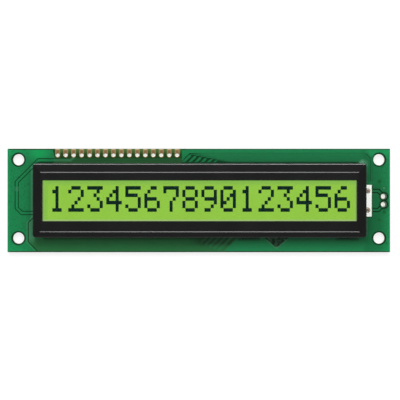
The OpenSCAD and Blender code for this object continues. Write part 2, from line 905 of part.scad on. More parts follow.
// The body of each chip and its end caps stand on the lands
module chip_middles(xs, h) {
    layer(rear_z - h, rear_z) for (x = xs)
        translate([x, chip_y]) square([chip_w, chip_l - 2 * chip_cap], center = true);
}

module chip_caps(xs, h) {
    layer(rear_z - h, rear_z) for (x = xs, side = [-1, 1])
        translate([x, chip_y + side * (chip_l - chip_cap) / 2]) square([chip_w, chip_cap], center = true);
}

module resistor_bodies() {
    color("#1c1c1e") chip_middles(resistor_xs(), resistor_h);
}

module resistor_ends() {
    color("#c4c6c8") chip_caps(resistor_xs(), resistor_h);
}

module capacitor_bodies() {
    color("#b08a62") chip_middles(capacitor_xs(), capacitor_h);
}

module capacitor_ends() {
    color("#c4c6c8") chip_caps(capacitor_xs(), capacitor_h);
}

circuit_board();
front_copper();
front_tracks();
rear_copper();
rear_tracks();
header_pads();
supply_pads();
contact_fingers();
bezel();
front_polariser();
front_glass();
cell_seal();
fill_port_plug();
lit_dots();
rear_glass();
rear_polariser();
backlight_diffuser();
backlight_housing();
led_board();
led_chips();
backlight_pins();
pin_solder();
contact_strip();
controller_blob();
driver_blob();
chip_lands();
resistor_bodies();
resistor_ends();
capacitor_bodies();
capacitor_ends();
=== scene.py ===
"""Looks of the character LCD module: one row of sixteen dot-matrix characters.

The sections follow in the order in which the module is put together. Places and
sizes on the object are in millimetres, and colours are written as on a paint card.
"""

import math

import bpy
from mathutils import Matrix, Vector


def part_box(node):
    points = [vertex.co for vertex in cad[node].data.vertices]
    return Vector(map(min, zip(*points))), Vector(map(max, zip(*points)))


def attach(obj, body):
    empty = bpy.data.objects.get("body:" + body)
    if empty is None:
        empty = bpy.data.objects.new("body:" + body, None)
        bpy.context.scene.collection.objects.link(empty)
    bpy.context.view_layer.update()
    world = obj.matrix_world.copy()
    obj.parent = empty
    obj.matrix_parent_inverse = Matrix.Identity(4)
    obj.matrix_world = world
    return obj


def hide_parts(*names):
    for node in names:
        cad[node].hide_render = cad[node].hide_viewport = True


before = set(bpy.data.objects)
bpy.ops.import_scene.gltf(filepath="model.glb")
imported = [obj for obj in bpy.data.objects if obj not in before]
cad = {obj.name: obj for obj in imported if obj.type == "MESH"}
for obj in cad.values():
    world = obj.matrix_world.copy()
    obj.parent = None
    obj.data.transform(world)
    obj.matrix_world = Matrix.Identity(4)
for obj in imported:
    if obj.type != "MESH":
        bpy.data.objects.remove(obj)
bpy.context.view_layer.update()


# ------------------------------------------------------------------ circuit board
# Glass-epoxy laminate, drilled and routed, with a green solder mask on both faces.
# The mask is dark in the narrow gaps between copper and paler over open laminate,
# and the cut edges and hole walls show the layers of yellowish glass cloth.

class Value:
    """One output of a material's nodes, which can stand in a sum."""

    def __init__(self, finish, socket):
        self.finish = finish
        self.socket = socket

    def __add__(self, other):
        return self.finish.math("ADD", self, other)

    def __sub__(self, other):
        return self.finish.math("SUBTRACT", self, other)

    def __rsub__(self, other):
        return self.finish.math("SUBTRACT", other, self)

    def __mul__(self, other):
        return self.finish.math("MULTIPLY", self, other)

    def __truediv__(self, other):
        return self.finish.math("DIVIDE", self, other)

    __radd__ = __add__
    __rmul__ = __mul__


class Finish:
    """One procedural material and the nodes that vary it over a piece."""

    def __init__(self, name, constants):
        self.material = bpy.data.materials.new(name)
        self.material.use_nodes = True
        self.tree = self.material.node_tree
        self.shader = self.tree.nodes["Principled BSDF"]
        for socket, value in constants.items():
            self.shader.inputs[socket].default_value = value

    def feed(self, socket, value):
        if isinstance(value, Value):
            self.tree.links.new(value.socket, socket)
        else:
            socket.default_value = value

    def add(self, kind, settings, inputs, output=0):
        """Adds a node with its settings and its inputs, and gives one of its outputs."""
        node = self.tree.nodes.new(kind)
        for name, value in settings.items():
            setattr(node, name, value)
        for name, value in inputs.items():
            self.feed(node.inputs[name], value)
        return Value(self, node.outputs[output])

    def math(self, operation, first, second=0.0, clamp=False):
        settings = {"operation": operation, "use_clamp": clamp}
        return self.add("ShaderNodeMath", settings, {0: first, 1: second})

    def size(self, value):
        """The value without its sign."""
        return self.math("ABSOLUTE", value)

    def distance(self, across, up):
        """The distance from the place that both values are measured from."""
        return self.math("SQRT", across * across + up * up)

    def mix(self, amount, first, second):
        """A colour that goes from the first to the second as the amount rises."""
        inputs = {0: amount, 6: first, 7: second}
        return self.add("ShaderNodeMix", {"data_type": "RGBA"}, inputs, 2)

    def shade(self, amount, first, second):
        """A colour between two paints."""
        return self.mix(amount, paint(first), paint(second))

    def cover_with(self, under, code, amount):
        """A colour with a coat of paint over it, as dense as the amount."""
        return self.mix(amount, under, paint(code))

    def along(self, axis):
        """The place along the X, Y or Z axis, in millimetres."""
        place = self.add("ShaderNodeTexCoord", {}, {}, "Object")
        return self.add("ShaderNodeSeparateXYZ", {}, {0: place}, axis) * 1000

    def noise(self, size, detail=2, stretch=(1, 1, 1)):
        """Cloudy noise from 0 to 1 with spots of about the given size in millimetres."""
        place = self.add("ShaderNodeTexCoord", {}, {}, "Object")
        scale = [1000 / (size * s) for s in stretch]
        vector = self.add("ShaderNodeVectorMath", {"operation": "MULTIPLY"}, {0: place, 1: scale})
        inputs = {"Vector": vector, "Scale": 1.0, "Detail": detail}
        return self.add("ShaderNodeTexNoise", {}, inputs)

    def above(self, value, limit, soft):
        """1 where the value is above a limit, and 0 below it, with a soft edge."""
        return self.math("ADD", (value - limit) / soft, 0.5, clamp=True)

    def below(self, value, limit, soft):
        """1 where the value is below a limit, and 0 above it, with a soft edge."""
        return self.math("ADD", (limit - value) / soft, 0.5, clamp=True)

    def between(self, value, low, high, soft):
        """1 where the value lies between two limits, and 0 outside, with soft edges."""
        return self.above(value, low, soft) * self.below(value, high, soft)

    def rectangle(self, low_x, high_x, low_y, high_y, soft=0.25):
        """1 over a rectangle of the board, with soft edges."""
        across, up = self.along("X"), self.along("Y")
        return self.between(across, low_x, high_x, soft) * self.between(up, low_y, high_y, soft)

    def disc(self, middle, radius, soft=0.2):
        """1 over a round spot of the board, with a soft edge."""
        out = self.distance(self.along("X") - middle[0], self.along("Y") - middle[1])
        return self.between(out, -1, radius, soft)

    def facing(self, axis):
        """How much the surface faces along an axis, from 0 to 1."""
        normal = self.add("ShaderNodeNewGeometry", {}, {}, "Normal")
        return self.size(self.add("ShaderNodeSeparateXYZ", {}, {0: normal}, axis))

    def give(self, socket, value):
        self.feed(self.shader.inputs[socket], value)

    def bump(self, height, depth):
        """Raises the surface by the height, from 0 to 1, times a depth in millimetres."""
        inputs = {"Distance": depth / 1000, "Height": height}
        self.give("Normal", self.add("ShaderNodeBump", {}, inputs))

    def cover(self, *pieces):
        for piece in pieces:
            for slot in piece.material_slots:
                slot.material = self.material


def paint(code):
    """A colour written as on a paint card, as the values that a shader takes."""
    parts = [int(code[i:i + 2], 16) / 255 for i in (1, 3, 5)]
    return [c / 12.92 if c <= 0.04045 else ((c + 0.055) / 1.055) ** 2.4 for c in parts] + [1.0]


def in_mm(corner):
    return [1000 * c for c in corner]


board_low, board_high = [in_mm(c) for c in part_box("circuit_board")]
bezel_low, bezel_high = [in_mm(c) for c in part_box("bezel")]
# The bezel's box takes in its twisted tabs, and its skirts stand this far from the middle
bezel_side = 11.7
# The vias of the front: one on the long track and four in the copper at the right end
track_via = (board_low[0] + 2.95, 3.7)
pale_via = (board_high[0] - 1.9, 3.9)
dark_vias = [(board_high[0] - 3.4, 6), (board_high[0] - 1.9, -3.7), (board_high[0] - 3.5, -6.2)]
via_radius, dark_via_radius, via_gap_radius = 0.7, 0.6, 0.95
# The lower fan of slanted tracks ends where x - y has this value
fan_end = 24.4
# The poured copper at the left end stops at a line that turns by 45 degrees twice
pour_edge_x = bezel_low[0] - 2.1
pour_turn_y = (-7.0, -13.3)
# A pale spot on the mask, at the bezel's upper right corner
pale_spot_middle = (bezel_high[0] - 0.5, bezel_side - 0.05)
pale_spot_radius = 1.3


def past_pour_edge(finish):
    """How far a place lies to the right of the edge of the poured copper."""
    across, up = finish.along("X"), finish.along("Y")
    upper = (across - up + (pour_turn_y[0] - pour_edge_x)) * math.sqrt(0.5)
    lower = (across + up - (pour_turn_y[1] + pour_edge_x)) * math.sqrt(0.5)
    return finish.math("MINIMUM", across - pour_edge_x, finish.math("MINIMUM", upper, lower))


board_mask = Finish("board_mask", {"Specular IOR Level": 0.35})
x, y, z = [board_mask.along(axis) for axis in "XYZ"]
cloudy = board_mask.noise(6)
gap_tone = board_mask.shade(cloudy, "#073a1e", "#0a4424")

# Open laminate below the bezel, with painted shade of the bezel along it and painted light beside
# its end
lower_tone = board_mask.shade(cloudy, "#266b3b", "#2b7341")
light_beside_end = board_mask.below(x, bezel_low[0] + 0.1, 0.8) * board_mask.above(y, -13, 2)
lower_tone = board_mask.cover_with(lower_tone, "#4c8f6c", light_beside_end * 0.5)
under_bezel = board_mask.above(y, -12.3, 1.4) * board_mask.above(x, -49.5, 1)
lower_tone = board_mask.cover_with(lower_tone, "#1d3325", under_bezel * 0.9)
# Painted shade of the bezel over the left part of the fan's field
fan_shade = board_mask.between(x, -1, 12, 5) * board_mask.above(y, -14.2, 1.2)
lower_tone = board_mask.cover_with(lower_tone, "#213f28", fan_shade * 0.8)
past_edge = past_pour_edge(board_mask)
edge_line = board_mask.below(past_edge, 0.3, 0.2)
lower_tone = board_mask.cover_with(lower_tone, "#08381c", edge_line)
left_of_fan = board_mask.above(fan_end - x + y, 0, 0.3)
low_side = board_mask.between(y, board_low[1] + 0.3, -4.9, 0.3)
lower_field = board_mask.above(past_edge, 0, 0.2) * left_of_fan * low_side
front_tone = board_mask.mix(lower_field, gap_tone, lower_tone)

# Open laminate between the header and the bezel, and olive between the header's pads
upper_tone = board_mask.shade(cloudy, "#1f4f2a", "#275c33")
upper_field = board_mask.rectangle(-46.2, -4.6, 11, 13.5)
front_tone = board_mask.mix(upper_field, front_tone, upper_tone)
olive_tone = board_mask.shade(board_mask.above(y, 15.6, 1.6), "#23431a", "#58743a")
pad_field = board_mask.rectangle(-45.9, -5.6, 13.5, 16.4)
front_tone = board_mask.mix(pad_field, front_tone, olive_tone)

# The field of the wide bus, from the upper fan to the bezel's right side
bus_tone = board_mask.shade(cloudy, "#1d7446", "#207c4c")
fan_slope = 0.287
past_fan = board_mask.above(y + x * fan_slope, 14.9, 0.9)
bus_field = board_mask.math(
    "MAXIMUM",
    board_mask.rectangle(-3.2, 54.6, 12.1, 15.1) * past_fan,
    board_mask.rectangle(52, 55.4, 4, 14.6),
)
front_tone = board_mask.mix(bus_field, front_tone, bus_tone)
slant = x - y
last_line = board_mask.between(slant, -8.5, -8.0, 0.25)
last_line = last_line * board_mask.rectangle(2, 6, 11, 13.6, 0.4)
front_tone = board_mask.cover_with(front_tone, "#0f4426", last_line * 0.7)
pale_line = board_mask.between(slant, -9.1, -8.75, 0.25)
pale_line = pale_line * board_mask.rectangle(2, 6, 11, 13.2, 0.4)
front_tone = board_mask.cover_with(front_tone, "#4c8a60", pale_line * 0.7)
# A dark band at the foot of the bezel's upper side: open laminate, darkened further by painted
# shade
seam_and_shade = board_mask.rectangle(0, 51, 11, bezel_side + 0.7, 0.45) * board_mask.above(x, 3, 1)
front_tone = board_mask.cover_with(front_tone, "#0a3a20", seam_and_shade * 0.85)
pale_spot = board_mask.disc(pale_spot_middle, pale_spot_radius, 0.8)
front_tone = board_mask.cover_with(front_tone, "#68a584", pale_spot * 0.8)

# The speckled notch below the bezel
notch_field = board_mask.rectangle(21.5, 28, -15, -11, 0.1)
speckled = board_mask.above(board_mask.noise(0.9, 3), 0.5, 0.2)
notch_tone = board_mask.shade(speckled, "#17301f", "#345541")
front_tone = board_mask.mix(notch_field, front_tone, notch_tone)

# Right of the bezel: the end of the bus, the gaps of the two supply tracks, and the vias
bus_side = board_mask.rectangle(52.6, 56, 4.6, 15.6)
front_tone = board_mask.cover_with(front_tone, "#186a3e", bus_side * 0.85)
supply_gaps = board_mask.rectangle(bezel_high[0], board_high[0] - 0.4, -5, 4.6, 0.2)
front_tone = board_mask.cover_with(front_tone, "#04240f", supply_gaps)
for via in [track_via, pale_via, *dark_vias]:
    via_gap = board_mask.disc(via, via_gap_radius)
    front_tone = board_mask.cover_with(front_tone, "#18683c", via_gap)

# The rims, where the copper is kept back from the board's edge
rim_width = 0.5
end_rim = board_mask.above(board_mask.size(x), board_high[0] - rim_width, 0.1)
front_tone = board_mask.cover_with(front_tone, "#1d8554", end_rim)
top_rim = board_mask.above(y, board_high[1] - rim_width, 0.1)
top_rim = top_rim * board_mask.between(x, -4, board_high[0], 0.1)
front_tone = board_mask.cover_with(front_tone, "#1b6440", top_rim)

front = board_mask.above(z, board_high[2] - 0.1, 0.05)
mask_tone = board_mask.mix(front, gap_tone, front_tone)
layers = board_mask.noise(0.12, 3, (12, 12, 1))
cut_tone = board_mask.shade(layers, "#7d7a44", "#b5ad74")
flat = board_mask.math("GREATER_THAN", board_mask.facing("Z"), 0.5)
board_mask.give("Base Color", board_mask.mix(flat, cut_tone, mask_tone))
board_mask.give("Roughness", 0.75 - flat * 0.62)
cloth_pitch = 0.55
warp = board_mask.math("SINE", x * (2 * math.pi / cloth_pitch))
weft = board_mask.math("SINE", y * (2 * math.pi / cloth_pitch))
board_mask.bump(warp * weft * 0.5 + layers * (1 - flat) * 3, 0.002)
board_mask.cover(cad["circuit_board"])


# ------------------------------------------------------------------ copper under mask
# Poured areas and tracks of thin copper on both faces, under the same green mask.
# The copper makes the mask look lighter, and painted light makes it lighter still towards
# the ends and edges. The mask is dark where the copper is kept back from holes and tabs,
# and painted shade darkens it along the foot of the bezel.

tab_inset = 5.7
tab_pitch = (bezel_high[0] - bezel_low[0] - 2 * tab_inset) / 3
right_tabs = [bezel_low[0] + tab_inset + i * tab_pitch for i in (2, 3)]
tab_clearance = 3.6
hole_middles = [(side * 57.5, level) for side in (-1, 1) for level in (-12, 13)]
hole_ring_radius = 2.3
supply_middles = [(board_high[0] - 1.95, side * 1.27) for side in (-1, 1)]
supply_ring_radius = 1.6
# The notch below the bezel: its middle, half the width of its flat tip, and its tip
notch_x, notch_flat, notch_tip_y = 24.8, 0.4, -14.8
# The middle of the gap that runs along the bus, and the sum of x and y on its chamfer
bus_gap_x, bus_gap_y, bus_chamfer = 54.75, 14.95, 68.3

copper_mask = Finish("copper_mask", {"Specular IOR Level": 0.35, "Roughness": 0.13})
x, y = [copper_mask.along(axis) for axis in "XY"]
from_middle, from_axis = copper_mask.size(x), copper_mask.size(y)

# Mottled green, with painted light towards the ends and the long edges, and dark specks at the
# ends
cloudy = copper_mask.noise(14, 3)
blotchy = copper_mask.noise(1.3, 3)
fine = copper_mask.noise(0.5, 3)
left_end = copper_mask.below(x, -56.5, 9)
right_end = copper_mask.above(x, 57.5, 7)
edges = copper_mask.above(from_axis, 14.7, 3.4)
rim = copper_mask.above(from_middle, board_high[0] - 0.7, 0.6)
painted_light_and_mottle = left_end * (0.25 + edges * 0.55) + right_end * (0.1 + edges * 0.35) + edges * 0.15
mottled = (blotchy - 0.5) * 0.4 + (fine - 0.5) * (0.3 + left_end + right_end)
painted_light_and_mottle = copper_mask.math("MAXIMUM", painted_light_and_mottle + rim * 0.3 + mottled, 0.0, clamp=True)
tone = copper_mask.shade(cloudy, "#167343", "#197b48")
tone = copper_mask.cover_with(tone, "#129a58", painted_light_and_mottle)
specks = copper_mask.above(copper_mask.noise(0.7, 2), 0.62, 0.08)
specks = specks * copper_mask.above(from_middle, 53, 1)
tone = copper_mask.cover_with(tone, "#0d5a34", specks * 0.45)

# Painted shade right of the bezel, painted light close to both its ends, bright at the top right
# corner
shade_right_of_bezel = copper_mask.between(x, 52, 58.8, 2.4)
shade_right_of_bezel = shade_right_of_bezel * (0.45 + copper_mask.between(y, -14, 5, 1.5) * 0.4)
tone = copper_mask.cover_with(tone, "#14643a", shade_right_of_bezel)
light_beside_bezel_ends = copper_mask.between(x, bezel_low[0] - 1.1, bezel_high[0] + 0.7, 0.5)
light_beside_bezel_ends = light_beside_bezel_ends * copper_mask.below(from_axis, 11, 1)
tone = copper_mask.cover_with(tone, "#5a9c7c", light_beside_bezel_ends * 0.4)
for middle in [(board_high[0] - 5.5, 15.6), (board_high[0] - 1.5, 15.9)]:
    bright_spot = copper_mask.disc(middle, 1.8, 2.2)
    tone = copper_mask.cover_with(tone, "#1fa05f", bright_spot * 0.5)

# Along the lower edge: the pour right of the fan, the fan, and a painted highlight on the rim of
# the left pour
right_of_fan = copper_mask.above(x - y, fan_end, 0.2)
low_strip = right_of_fan * copper_mask.below(x, 53, 2) * copper_mask.below(y, -13, 1.5)
tone = copper_mask.cover_with(tone, "#259058", low_strip * 0.5)
fan_tracks = copper_mask.between(x, -6, 20, 1) * copper_mask.between(y, -16.5, -11, 0.5)
tone = copper_mask.cover_with(tone, "#2f7a48", (1 - right_of_fan) * fan_tracks * 0.65)
pour_rim_highlight = copper_mask.above(past_pour_edge(copper_mask), -0.45, 0.25)
pour_rim_highlight = pour_rim_highlight * copper_mask.rectangle(-56, -50, -16.5, -4, 0.5)
tone = copper_mask.cover_with(tone, "#5f9f78", pour_rim_highlight * 0.18)

# Along the upper edge: painted light on the pour beside the header, and the header's first track,
# greyish with a painted highlight
corner_light = copper_mask.disc((bezel_low[0] + 1.5, 15.4), 2.6, 3.0)
tone = copper_mask.cover_with(tone, "#0aa456", corner_light * 0.65)
header_track = copper_mask.rectangle(-46, -36, 12, 13.8)
tone = copper_mask.cover_with(tone, "#40704d", header_track * 0.6)

# The vias, which are filled with mask, the two pale ones with a painted sheen on their domes
for via, code in [(track_via, "#39775a"), (pale_via, "#3c8a5e")]:
    tone = copper_mask.cover_with(tone, code, copper_mask.disc(via, via_radius, 0.5) * 0.7)
for via in dark_vias:
    via_spot = copper_mask.disc(via, dark_via_radius, 0.5)
    tone = copper_mask.cover_with(tone, "#0c5a2a", via_spot * 0.8)

# Round the tabs the copper is kept back and the mask looks dark. Along the bezel's upper
# side a dark band lies at its foot, partly open laminate and partly painted shade, and
# painted shade lies along its lower side
for middle in right_tabs:
    left, right = middle - tab_clearance, middle + tab_clearance
    kept_back = copper_mask.rectangle(left, right, -bezel_side - 1.0, 0, 0.5)
    tone = copper_mask.cover_with(tone, "#123a24", kept_back * 0.75)
upper_seam_shade = copper_mask.between(y, 0, bezel_side + 0.62, 0.4) * copper_mask.between(x, -52, 51, 1)
tone = copper_mask.cover_with(tone, "#0a3a20", upper_seam_shade * 0.85)
lower_seam_shade = copper_mask.between(y, -bezel_side - 1.0, 0, 0.9)
lower_seam_shade = lower_seam_shade * copper_mask.between(x, -52, 51.5, 1)
tone = copper_mask.cover_with(tone, "#2a4a3a", lower_seam_shade * 0.6)
bus_chamfered = copper_mask.math(
    "MINIMUM", bus_gap_x - x, (bus_chamfer - x - y) * math.sqrt(0.5)
)
into_bus = copper_mask.math("MINIMUM", bus_gap_y - y, bus_chamfered)
bus_line = copper_mask.between(into_bus, -0.16, 0.16, 0.14)
bus_line = bus_line * copper_mask.rectangle(51.5, 56, 6, 15.5, 0.6)
tone = copper_mask.cover_with(tone, "#07462a", bus_line * 0.8)
for middle in hole_middles:
    hole_ring = copper_mask.disc(middle, hole_ring_radius, 0.25)
    tone = copper_mask.cover_with(tone, "#0b4828", hole_ring * 0.7)
for middle in supply_middles:
    supply_ring = copper_mask.disc(middle, supply_ring_radius, 0.5)
    tone = copper_mask.cover_with(tone, "#0b4526", supply_ring * 0.85)

# A light rim runs round the notch
notch_side = copper_mask.size(x - notch_x) - notch_flat
notch_rim = copper_mask.below(notch_side * 0.65 - (y - notch_tip_y) * 0.76, 0.4, 0.3)
notch_rim = notch_rim * copper_mask.rectangle(20.5, 29, -15.3, -12.6, 0.5)
tone = copper_mask.cover_with(tone, "#4f8a62", notch_rim * 0.5)

# The left half of the lower fan is in the bezel's painted shade, and the pale spot lies over all
fan_shade = copper_mask.between(x, -4, 9.5, 3.5) * copper_mask.between(y, -14.2, 0, 1.4)
tone = copper_mask.cover_with(tone, "#284c34", fan_shade * 0.7)
pale_spot = copper_mask.disc(pale_spot_middle, pale_spot_radius, 0.8)
tone = copper_mask.cover_with(tone, "#68a584", pale_spot * 0.8)

copper_mask.give("Base Color", tone)
copper_mask.bump(copper_mask.noise(0.8, 2), 0.004)
copper_mask.cover(cad["front_copper"], cad["front_tracks"])
copper_mask.cover(cad["rear_copper"], cad["rear_tracks"])


# ------------------------------------------------------------------ header pads
# Sixteen bare copper pads, open to the edge of the board, with plated holes.
# Hot-air tinning lies thick round the lower half of each hole and thin elsewhere,
# so the copper shows brown through it.

header_pitch = 2.54
pad_width = 1.55
header_left = in_mm(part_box("header_pads")[0])[0] + pad_width / 2
header_y = board_high[1] - 2

pad_copper = Finish("pad_copper", {"Specular IOR Level": 0.6})
x, y = [pad_copper.along(axis) for axis in "XY"]
step = pad_copper.math("FRACT", (x - header_left) / header_pitch + 0.5)
across = (step - 0.5) * header_pitch
up = y - header_y
out = pad_copper.distance(across, up)
speckle = pad_copper.noise(0.25, 3)
patchy = pad_copper.noise(1.1, 3)
bare = pad_copper.shade(speckle, "#7f6231", "#977640")
streak = pad_copper.between(across + (patchy - 0.5) * 0.9, -0.35, 0.35, 0.4)
streak = streak * pad_copper.between(up, 0.5, 1.35, 0.5)
bare = pad_copper.cover_with(bare, "#6c4a1a", streak * 0.75)
light_end = pad_copper.above(up, 1.72, 0.3)
bare = pad_copper.cover_with(bare, "#efdaae", light_end * 0.75)
under_mask = pad_copper.above(pad_copper.size(across), 0.6, 0.12)
bare = pad_copper.cover_with(bare, "#6f8a4c", under_mask * 0.75)
tin_round = pad_copper.below(out, 0.64, 0.08) * pad_copper.below(up, 0.2, 0.15)
wall = 1 - pad_copper.math("GREATER_THAN", pad_copper.facing("Z"), 0.5)
tinned = pad_copper.math("MAXIMUM", tin_round, wall)
tin = pad_copper.shade(speckle, "#f0e8c4", "#fff8dc")
pad_copper.give("Base Color", pad_copper.mix(tinned, bare, tin))
pad_copper.give("Metallic", 0.25 + tinned * 0.25)
pad_copper.give("Roughness", 0.5 - tinned * 0.15)
pad_copper.bump(speckle, 0.02)
pad_copper.cover(cad["header_pads"])


# ------------------------------------------------------------------ supply pads
# Two round tinned pads with plated holes, where the backlight's supply is soldered.
# The tin has a painted highlight on the side away from the edge of the board, and painted
# shade on the side towards it.

pad_tin = Finish("pad_tin", {"Specular IOR Level": 0.6, "Metallic": 0.35})
x, y = [pad_tin.along(axis) for axis in "XY"]
grain = pad_tin.noise(0.3, 3)
highlight_lean = 0.3
supply_x, supply_y = supply_middles[1]
out = pad_tin.distance(x - (supply_x - highlight_lean), pad_tin.size(y) - supply_y)
tin_tone = pad_tin.shade(grain, "#274a30", "#3f6244")
# Painted shade towards the board's edge, and a painted highlight away from it
shaded_tin = pad_tin.shade(grain, "#8fa083", "#a9b699")
lit_tin = pad_tin.shade(grain, "#eef2dc", "#fbfdec")
tin_tone = pad_tin.mix(pad_tin.below(out, 0.78, 0.3), tin_tone, shaded_tin)
tin_tone = pad_tin.mix(pad_tin.below(out, 0.62, 0.3), tin_tone, lit_tin)
pad_tin.give("Base Color", tin_tone)
pad_tin.give("Roughness", 0.3 + grain * 0.2)
pad_tin.bump(grain, 0.02)
pad_tin.cover(cad["supply_pads"])


# ------------------------------------------------------------------ contact fingers
# A row of gold-plated fingers on the board, on which the rubber contact strip stands.
# The plating is thin and slightly brushed along each finger.

finger_gold = Finish("finger_gold", {"Metallic": 1.0})
brushed = finger_gold.noise(0.12, 3, (1, 8, 1))
finger_gold.give("Base Color", finger_gold.shade(brushed, "#c79a4c", "#e2bd74"))
finger_gold.give("Roughness", 0.25 + brushed * 0.2)
finger_gold.cover(cad["contact_fingers"])


# ------------------------------------------------------------------ LED board
# A thin board with a white mask that lies on the circuit board, with a tongue
# outside the bezel. Flux has stained it brown round the two soldered pins. It glows
# faintly with painted light, whitest beside the bezel, against the bezel's shade.

pins_low, pins_high = [in_mm(c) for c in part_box("backlight_pins")]
pin_radius = 0.35
pin_x = (pins_low[0] + pins_high[0]) / 2
pin_y = (pins_high[1] - pins_low[1]) / 2 - pin_radius
led_end = in_mm(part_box("led_board")[1])[0]

led_mask = Finish("led_mask", {"Specular IOR Level": 0.4, "Emission Strength": 0.34})
x, y = [led_mask.along(axis) for axis in "XY"]
uneven = led_mask.noise(0.7, 4)
from_pin = led_mask.distance(x - pin_x, led_mask.size(y) - pin_y)
stain = led_mask.below(from_pin + (uneven - 0.5) * 0.9, 0.8, 0.4)
specks = led_mask.above(led_mask.noise(0.35, 3), 0.63, 0.06)
specks = specks * led_mask.between(x, 40, 54.2, 0.4)
white = led_mask.shade(uneven, "#f6fbf3", "#fdfffa")
masked = led_mask.cover_with(white, "#9a8d7c", stain * 0.8)
masked = led_mask.cover_with(masked, "#b0a28c", specks * 0.35)
bare_rim = led_mask.above(x, led_end - 0.22, 0.06)
led_mask.give("Base Color", led_mask.cover_with(masked, "#2c5f3c", bare_rim))
# A painted glow, whitest beside the bezel, keeps the tongue white in the bezel's shade
glow_beside_bezel = led_mask.below(x, 54, 1)
painted_glow = led_mask.mix(glow_beside_bezel, paint("#8f928f"), white)
led_mask.give("Emission Color", led_mask.cover_with(painted_glow, "#0c1a10", bare_rim))
led_mask.give("Roughness", 0.35 + uneven * 0.15)
led_mask.bump(uneven, 0.01)
led_mask.cover(cad["led_board"])

led_resin = Finish("led_resin", {"Specular IOR Level": 0.5, "Roughness": 0.2})
milky = led_resin.noise(0.8, 2)
led_resin.give("Base Color", led_resin.shade(milky, "#c8d86a", "#e6f09a"))
led_resin.cover(cad["led_chips"])


# ------------------------------------------------------------------ backlight pins
# Two copper pins carry the current from the circuit board to the LED board.
# Each is soldered on both sides, with a dull fillet browned by flux.

pin_copper = Finish("pin_copper", {"Metallic": 0.7})
worn = pin_copper.noise(0.4, 3)
pin_copper.give("Base Color", pin_copper.shade(worn, "#7b6350", "#a98e74"))
pin_copper.give("Roughness", 0.35 + worn * 0.25)
pin_copper.cover(cad["backlight_pins"])

dull_solder = Finish("dull_solder", {"Metallic": 0.45, "Specular IOR Level": 0.5})
burnt = dull_solder.noise(0.5, 4)
dull_solder.give("Base Color", dull_solder.shade(burnt, "#9c8c7c", "#d2c9ba"))
dull_solder.give("Roughness", 0.3 + burnt * 0.3)
dull_solder.bump(burnt, 0.05)
dull_solder.cover(cad["pin_solder"])


# ------------------------------------------------------------------ light box
# A white frame moulded in filled plastic stands on the LED board and throws the light
# forward, and a milky sheet closes it and spreads the light evenly.

box_plastic = Finish("box_plastic", {"Specular IOR Level": 0.4})
moulded = box_plastic.noise(0.3, 4)
box_plastic.give("Base Color", box_plastic.shade(moulded, "#e9ebe4", "#f7f8f3"))
box_plastic.give("Roughness", 0.4 + moulded * 0.15)
box_plastic.bump(moulded, 0.01)
box_plastic.cover(cad["backlight_housing"])

milk_sheet = Finish("milk_sheet", {"Specular IOR Level": 0.5, "Roughness": 0.3})
haze = milk_sheet.noise(5, 3)
milk_sheet.give("Base Color", milk_sheet.shade(haze, "#dfeec0", "#edf6d8"))
milk_sheet.cover(cad["backlight_diffuser"])


# ------------------------------------------------------------------ contact strip
# Silicone rubber in thin slices, black ones that conduct between pale ones that don't.
# It is squeezed between the fingers and the ledge of the front glass.

slice_pitch = 0.18
strip_slices = Finish("strip_slices", {"Specular IOR Level": 0.4, "Roughness": 0.6})
step = strip_slices.math("FRACT", strip_slices.along("X") / slice_pitch)
slices = strip_slices.between(step, 0.25, 0.75, 0.1)
dusty = strip_slices.noise(0.5, 3)
black_slice = strip_slices.shade(dusty, "#1b1b1c", "#28282a")
pale_slice = strip_slices.shade(dusty, "#b9a7a0", "#cbbcb4")
strip_slices.give("Base Color", strip_slices.mix(slices, pale_slice, black_slice))
strip_slices.cover(cad["contact_strip"])


# ------------------------------------------------------------------ rear polariser
# The rear film glows yellow-green with the backlight behind it. The glow is even,
# with painted light at the very edge of the window, where the bezel's cut edge scatters
# light, a thin painted shadow of the bezel's lip right at that edge, and painted shade
# in bands along the window's upper and left edges.

window_low, window_high = (-49.23, -6.6), (49.77, 6.4)
glow_constants = {"Specular IOR Level": 0.2, "Roughness": 0.5, "Emission Strength": 1.25}
glow_film = Finish("glow_film", glow_constants)
x, y = [glow_film.along(axis) for axis in "XY"]
even = glow_film.noise(9, 3)
glow = glow_film.shade(even, "#8abe3e", "#92c846")
# Painted shade of the bezel's upper and left window edges on the film
top_shadow_band = glow_film.above(y, window_high[1] - 1.2, 1.6)
glow = glow_film.cover_with(glow, "#7db24c", top_shadow_band * 0.9)
left_shadow_band = glow_film.below(x, window_low[0] + 1.4, 0.8)
glow = glow_film.cover_with(glow, "#80bb42", left_shadow_band * 0.8)
from_side = glow_film.math("MINIMUM", x - window_low[0], window_high[0] - x)
from_ends = glow_film.math("MINIMUM", y - window_low[1], window_high[1] - y)
# Painted light along the sides and bottom of the window
glow = glow_film.cover_with(glow, "#95b873", glow_film.below(from_side, 0.45, 0.3) * 0.6)
lit_low_rim = glow_film.below(y, window_low[1] + 0.5, 0.3)
glow = glow_film.cover_with(glow, "#a2bd80", lit_low_rim * 0.8)
# A thin painted shadow of the bezel's lip right at the window's edge
glow = glow_film.cover_with(glow, "#2c3d16", glow_film.below(from_ends, 0.1, 0.12))
glow = glow_film.cover_with(glow, "#2c3d16", glow_film.below(from_side, 0.12, 0.12) * 0.5)
glow_film.give("Emission Color", glow)
glow_film.give("Base Color", glow_film.shade(even, "#15210a", "#1b2a0e"))
glow_film.cover(cad["rear_polariser"])


# ------------------------------------------------------------------ liquid crystal cell
# Two panes of float glass held a hair apart by a ring of resin, filled with liquid
# crystal through a port that a drop of resin plugs. Driven dots turn almost black.

